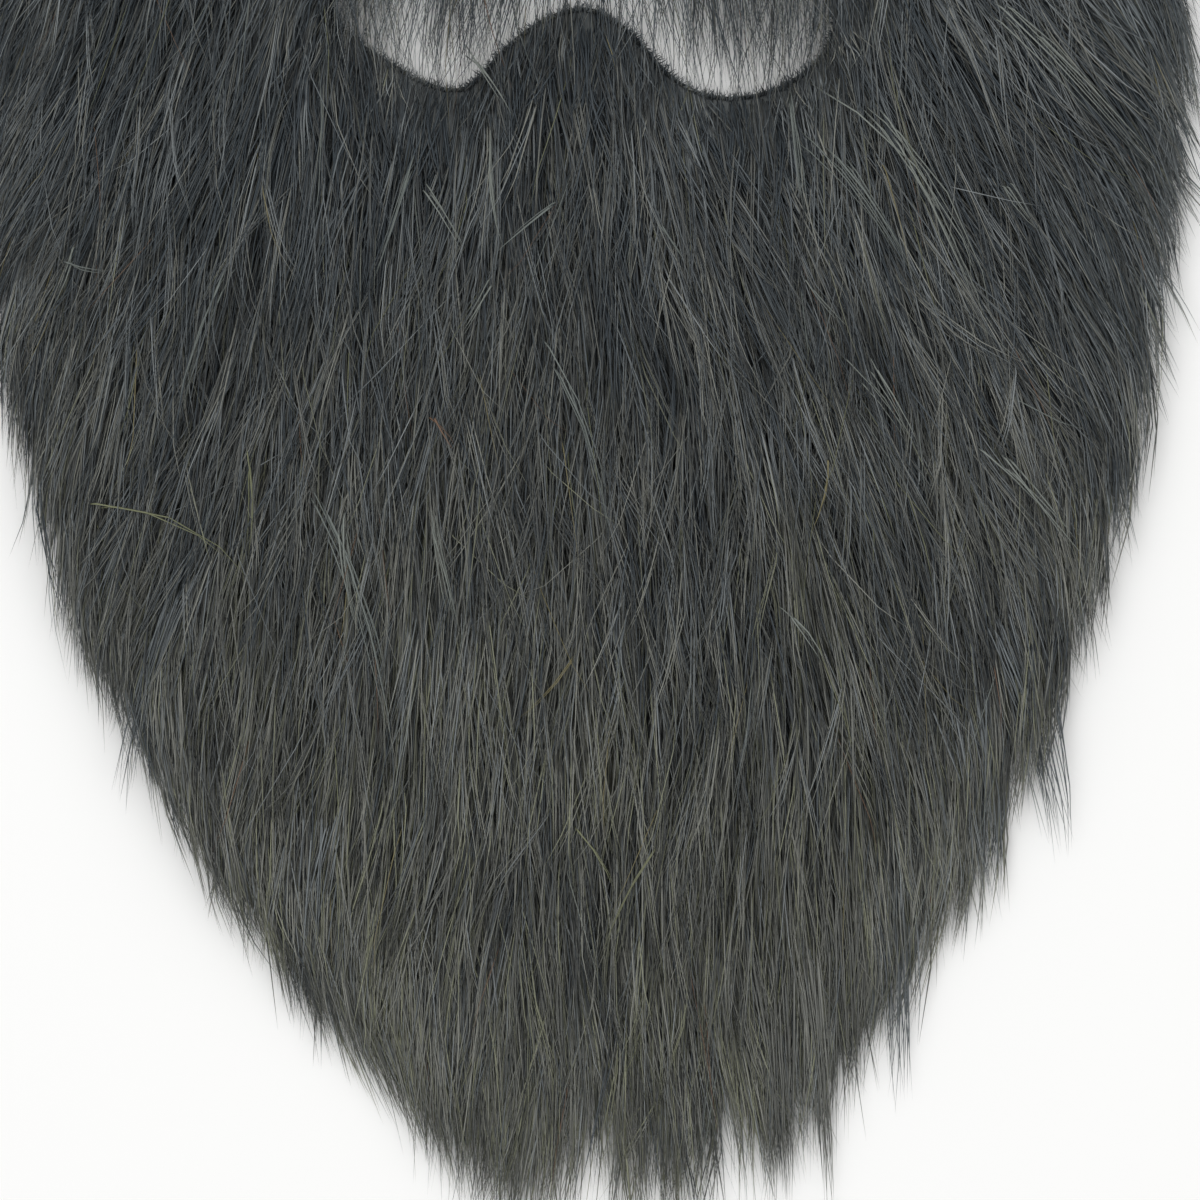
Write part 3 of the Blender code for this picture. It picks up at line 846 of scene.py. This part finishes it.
roots = beard_roots(rng, 3.62)
coat = Batch(
    roots=roots,
    lengths=PILE_LENGTH_MM * rng.uniform(0.86, 1.08, len(roots)) * chin_growth(roots),
    count=4,
    width=0.4,
    spread=1.5,
    layers=(0.84, 1.0),
    draw=(0.4, 0.95),
    ruffle=4.4,
    odd=0.004,
)
roots = beard_roots(rng, 8.5, 3.0)
loose = Batch(
    roots=roots,
    lengths=rng.uniform(40, 68, len(roots)),
    count=1,
    width=0.28,
    spread=1.0,
    layers=(0.98, 1.04),
    draw=(0.0, 0.1),
    ruffle=9.0,
    light=0.33,
    odd=0.2,
)
grown = pooled(
    grow(rng, coat, beard_comb, beard_locks, TOP_CUT, LOCK_RISE_MM),
    grow(rng, loose, beard_comb, beard_locks, TOP_CUT, LOCK_RISE_MM + 0.8),
)
for name, chosen in (
    ("top_coat_left", grown[0][:, 0, 0] < CLOTH_MIDDLE),
    ("top_coat_right", grown[0][:, 0, 0] >= CLOTH_MIDDLE),
):
    add_strands(name, rng, TOP_CUT, part_of(grown, chosen), "beard_fur")

# Hairs that the comb missed: single hairs and thin wisps, paler than the rest, lie slantwise on
# the top coat, and a few tufts hang loose beyond the edge, mostly on the right.
Laid = namedtuple("Laid", "root tip bow hairs spread column")
# Columns of the dye map: the odd hairs, then middle and lighter shades of the first two dyes
GREY, PALE, GOLD, OLIVE, RUSSET, STRAW = 24, 31, 26, 27, 29, 30
COOL, COOL_LIGHT, PLAIN, PLAIN_LIGHT = 4, 5, 12, 13
STRAYS = (
    Laid((-97, -106), (-68, -124), 3.0, 2, 0.3, STRAW),
    Laid((-3, -136), (-15, -150), 1.0, 2, 0.4, GOLD),
    Laid((49, -98), (46, -110), 0.5, 2, 0.3, GOLD),
    Laid((-2, -173), (6, -188), 1.0, 2, 0.5, STRAW),
    Laid((13, -177), (2, -200), -1.0, 2, 0.5, OLIVE),
    Laid((-32, -88), (-27, -96), 0.5, 2, 0.3, RUSSET),
    Laid((-7, -77), (4, -112), 1.5, 4, 0.9, GREY),
    Laid((-54, -110), (-40, -158), 2.0, 6, 1.6, GREY),
    Laid((57, -77), (68, -96), 0.6, 6, 2.4, PALE),
    Laid((88, -6), (119, -39), 1.5, 7, 1.8, PALE),
    Laid((-33, -41), (-24, -57), 0.4, 3, 0.6, PALE),
    Laid((-38, -38), (-46, -63), 0.6, 4, 0.8, GREY),
    Laid((-21, -32), (-18, -53), -0.8, 4, 0.7, PALE),
    Laid((-7, -43), (-19, -53), 0.5, 2, 0.4, GREY),
    Laid((-21, -62), (-30, -75), 0.4, 3, 0.8, PALE),
    Laid((-23, -14), (-15, -27), 0.4, 3, 0.5, PALE),
    Laid((-76, -61), (-86, -93), -1.0, 4, 0.8, GREY),
    Laid((-107, -54), (-113, -67), 0.8, 3, 0.6, PALE),
    Laid((-108, -55), (-99, -57), -0.5, 2, 0.4, GREY),
    Laid((-51, -112), (-46, -136), -1.0, 6, 1.0, PALE),
    Laid((-32, -110), (-27, -134), -0.6, 5, 0.9, PALE),
    Laid((-70, -98), (-71, -119), 1.5, 3, 0.6, STRAW),
    Laid((42, -25), (45, -51), -0.5, 4, 0.6, GREY),
    Laid((51, -34), (69, -63), 0.8, 7, 2.2, GREY),
    Laid((62, -28), (83, -72), 3.0, 9, 2.4, PALE),
    Laid((85, -39), (92, -49), 0.3, 4, 1.2, PALE),
    Laid((45, -60), (54, -70), 0.3, 2, 0.5, PALE),
    Laid((85, -97), (106, -121), 0.8, 5, 1.6, PALE),
    Laid((41, -128), (48, -138), 0.4, 3, 0.6, PALE),
    Laid((15, -48), (20, -56), 0.3, 2, 0.4, GREY),
)
HANGING_TUFTS = (
    Laid((110, 0), (126, -33), 1.0, 22, 5.0, COOL),
    Laid((107, -34), (121, -70), 1.0, 26, 5.0, COOL_LIGHT),
    Laid((105, -54), (117, -91), 1.0, 24, 5.0, COOL),
    Laid((88, -134), (98, -179), 1.5, 34, 5.0, COOL),
    Laid((78, -150), (84, -194), 1.0, 20, 5.0, COOL_LIGHT),
    Laid((62, -184), (64, -229), 1.0, 34, 4.0, COOL_LIGHT),
    Laid((52, -190), (55, -234), 0.5, 30, 4.0, PLAIN),
    Laid((46, -202), (50, -250), 0.5, 30, 3.5, PLAIN_LIGHT),
    Laid((38, -205), (41, -252), 0.4, 24, 3.0, PLAIN),
    Laid((-84, -124), (-96, -166), -1.5, 22, 4.0, COOL),
    Laid((-56, -174), (-61, -217), -0.5, 16, 4.0, COOL_LIGHT),
)


def lay(rng, rows, width, rise):
    """Hairs laid as their rows say: points, half widths and tint columns. Each stands up from the
    cloth through the pile and comes out on top where its row begins, no two quite alike."""
    grown = []
    for row in rows:
        count = row.hairs
        along = np.subtract(row.tip, row.root).astype(float)
        side = np.array((-along[1], along[0])) / np.linalg.norm(along)
        begin = rng.normal(0, 0.6, count) * row.spread
        end = 0.3 * begin + rng.normal(0, 0.35, count) * row.spread
        bow = row.bow * rng.uniform(0.3, 1.5, count) + rng.normal(0, 0.4, count)
        late = rng.uniform(-0.15, 0.15, count)
        reach = rng.uniform(0.7, 1.0, count)
        sink = rng.normal(0, 0.5, count)
        points = np.empty((count, len(TOP_CUT.steps), 3))
        for k, step in enumerate(TOP_CUT.steps):
            s = late + (step - TOP_CUT.steps[1]) / (1 - TOP_CUT.steps[1]) * reach
            off = begin + (end - begin) * s + 4 * bow * s * (1 - s)
            spot = row.root + along * s[:, None] + side * off[:, None]
            inside = depth(*spot.T)
            low = np.interp(inside, LYING_AT_MM, LYING_HEIGHT_MM)
            over = pile_bed(*spot.T) + rise * (1 - 0.8 * smooth(-inside / PILE_FALL_MM)) + sink
            points[:, k, :2] = spot
            points[:, k, 2] = low if k == 0 else np.maximum(over, low)
        column = np.full(count, row.column)
        if row.column < len(DYES) * SHADES:
            column += rng.integers(-1, 1, count)
        grown.append((points, 0.5 * width * rng.uniform(0.7, 1.2, count), column))
    return pooled(*grown)


rng = np.random.default_rng(61)
roots = beard_roots(rng, 14.5, 4.0)
pale = Batch(
    roots=roots,
    lengths=rng.uniform(34, 56, len(roots)),
    count=5,
    width=0.36,
    spread=1.0,
    layers=(1.0, 1.03),
    draw=(0.3, 0.95),
    ruffle=6.0,
    light=0.3,
    odd=0.02,
)
wisps = pooled(
    grow(rng, pale, beard_comb, beard_locks, TOP_CUT, LOCK_RISE_MM),
    lay(rng, STRAYS, 0.4, 4.0),
    lay(rng, HANGING_TUFTS, 0.42, 2.0),
)
add_strands("wisps", rng, TOP_CUT, wisps, "beard_fur")

# Moustache: the same hair, parted in the middle and combed out and down. Its finest ends hang
# across the mouth opening like a veil, in loose clusters.
HANGING_ENDS_MM = (-40.0, -16.0)
VEIL_ACROSS_MM = (-58, 55)
VEIL_HAIRS = 230
PALE_VEIL_HAIRS = 340
Cluster = namedtuple("Cluster", "across lean_deg wide hairs")
HANGING_CLUSTERS = (
    Cluster(-54, 2, 4, 56),
    Cluster(-47, 0, 4, 20),
    Cluster(-29, 3, 2, 26),
    Cluster(-24, -4, 4, 24),
    Cluster(-13, -14, 6, 28),
    Cluster(0, 0, 8, 14),
    Cluster(8, 14, 6, 12),
    Cluster(16, 14, 4, 18),
    Cluster(24, 2, 3, 14),
    Cluster(31, 0, 1.4, 34),
    Cluster(42, -4, 3, 38),
    Cluster(50, -2, 4, 60),
    Cluster(22, 3, 5, 24),
)


def moustache_comb(x, y):
    spread = np.minimum(np.abs(x) / 55.0, 1.0)
    return np.where(x < 0, -1.0, 1.0) * np.radians(12.0 + 34.0 * spread) * smooth(y / 25.0 + 0.5)


def veil_comb(x, y):
    return 0.4 * moustache_comb(x, y)


def leaning(degrees):
    """A comb that makes hair hang straight at an angle."""
    return lambda x, y: np.full_like(x, math.radians(degrees))


def hang(rng, across, height, width, ruffle, light, odd, comb):
    """Single fine hairs from near the moustache's lower edge, hanging across the mouth opening."""
    roots = np.stack([across, height], axis=1)
    roots = roots[depth(*roots.T) > 0.3]
    fine = Batch(
        roots=roots,
        lengths=roots[:, 1] - rng.uniform(*HANGING_ENDS_MM, len(roots)),
        count=1,
        width=width,
        spread=0.5,
        layers=(0.5, 0.9),
        draw=(0.0, 0.1),
        ruffle=ruffle,
        light=light,
        odd=odd,
    )
    return grow(rng, fine, comb, moustache_locks, INNER_CUT, 3.0, False)


rng = np.random.default_rng(5)
moustache_locks = make_locks(rng, (-80, -5), (80, 70), 12.0)
roots = scatter(rng, (-76, -4), (74, 56), 2.9)
roots = roots[(depth(*roots.T) > 0.5) & in_moustache(roots)]
body = Batch(
    roots=roots,
    lengths=np.clip((roots[:, 1] - 1.0) * rng.uniform(0.5, 1.05, len(roots)), 13.0, 42.0),
    count=7,
    width=0.42,
    spread=1.8,
    layers=(0.55, 1.0),
    draw=(0.2, 0.8),
    ruffle=3.0,
    odd=0.003,
)
roots = edge_roots(rng, moustache_comb, (-78, 0), (76, 60), 1.6, 6.0)
roots = roots[in_moustache(roots)]
along_edges = Batch(
    roots=roots,
    lengths=rng.uniform(15, 28, len(roots)),
    count=3,
    width=0.4,
    spread=0.9,
    layers=(0.45, 0.8),
    draw=(0.2, 0.7),
    ruffle=4.0,
)
grown = pooled(
    grow(rng, body, moustache_comb, moustache_locks, INNER_CUT, 4.0, False),
    grow(rng, along_edges, moustache_comb, moustache_locks, INNER_CUT, 4.0, False),
)
add_strands("moustache_pile", rng, INNER_CUT, grown, "moustache_fur")

across = rng.uniform(*VEIL_ACROSS_MM, VEIL_HAIRS)
height = rng.uniform(17.5, 30.0, VEIL_HAIRS)
veil = [hang(rng, across, height, 0.27, 5.0, 0.1, 0.1, veil_comb)]
across = rng.uniform(*VEIL_ACROSS_MM, PALE_VEIL_HAIRS)
height = rng.uniform(17.5, 28.0, PALE_VEIL_HAIRS)
veil.append(hang(rng, across, height, 0.2, 6.0, 0.5, 0.0, veil_comb))
for row in HANGING_CLUSTERS:
    across = row.across + rng.normal(0, 0.5 * row.wide, row.hairs)
    height = rng.uniform(17.0, 30.0, row.hairs)
    veil.append(hang(rng, across, height, 0.27, 3.0, 0.0, 0.02, leaning(row.lean_deg)))
add_strands("moustache_ends", rng, INNER_CUT, pooled(*veil), "moustache_fur")

# Where it is photographed: a plain pale floor, soft studio light from above and a long lens
# straight over it. The picture's top edge cuts the moustache off.
FRAME_MIDDLE = (2.08, -125.0)
FRAME_SIDE = 0.25
CAMERA_HEIGHT = 1.6
FLOOR_HALF_SIDE = 4.0
ROOM_LIGHT = 0.71

paper, shader = new_material("matt_white_paper", 0.9)
shader.inputs["Base Color"].default_value = linear("#f7f7f6")
bm = bmesh.new()
bmesh.ops.create_grid(bm, x_segments=1, y_segments=1, size=FLOOR_HALF_SIDE)
floor_mesh = mesh_of(bm, "studio_floor")
floor_mesh.materials.append(paper)
studio_floor = bpy.data.objects.new("studio_floor", floor_mesh)
bpy.context.scene.collection.objects.link(studio_floor)

Lamp = namedtuple("Lamp", "name place side watts")
for lamp in (
    Lamp("soft_box_above", (-0.5, 0.55, 1.5), 1.6, 12.0),
    Lamp("fill_right", (1.3, -0.5, 1.0), 1.0, 3.5),
):
    light = bpy.data.lights.new(lamp.name, "AREA")
    light.size = lamp.side
    light.energy = lamp.watts
    item = bpy.data.objects.new(lamp.name, light)
    item.location = lamp.place
    item.rotation_euler = (-Vector(lamp.place)).to_track_quat("-Z", "Y").to_euler()
    bpy.context.scene.collection.objects.link(item)

studio = bpy.data.worlds.new("studio")
studio.use_nodes = True
studio.node_tree.nodes["Background"].inputs["Color"].default_value = (1.0, 1.0, 1.0, 1.0)
studio.node_tree.nodes["Background"].inputs["Strength"].default_value = ROOM_LIGHT
bpy.context.scene.world = studio
bpy.context.scene.view_settings.view_transform = "Standard"

camera_data = bpy.data.cameras.new("overhead")
camera_data.lens = camera_data.sensor_width * CAMERA_HEIGHT / FRAME_SIDE
camera = bpy.data.objects.new("overhead", camera_data)
camera.location = (*world(*FRAME_MIDDLE, 0.0)[:2], CAMERA_HEIGHT)
bpy.context.scene.collection.objects.link(camera)
bpy.context.scene.camera = camera
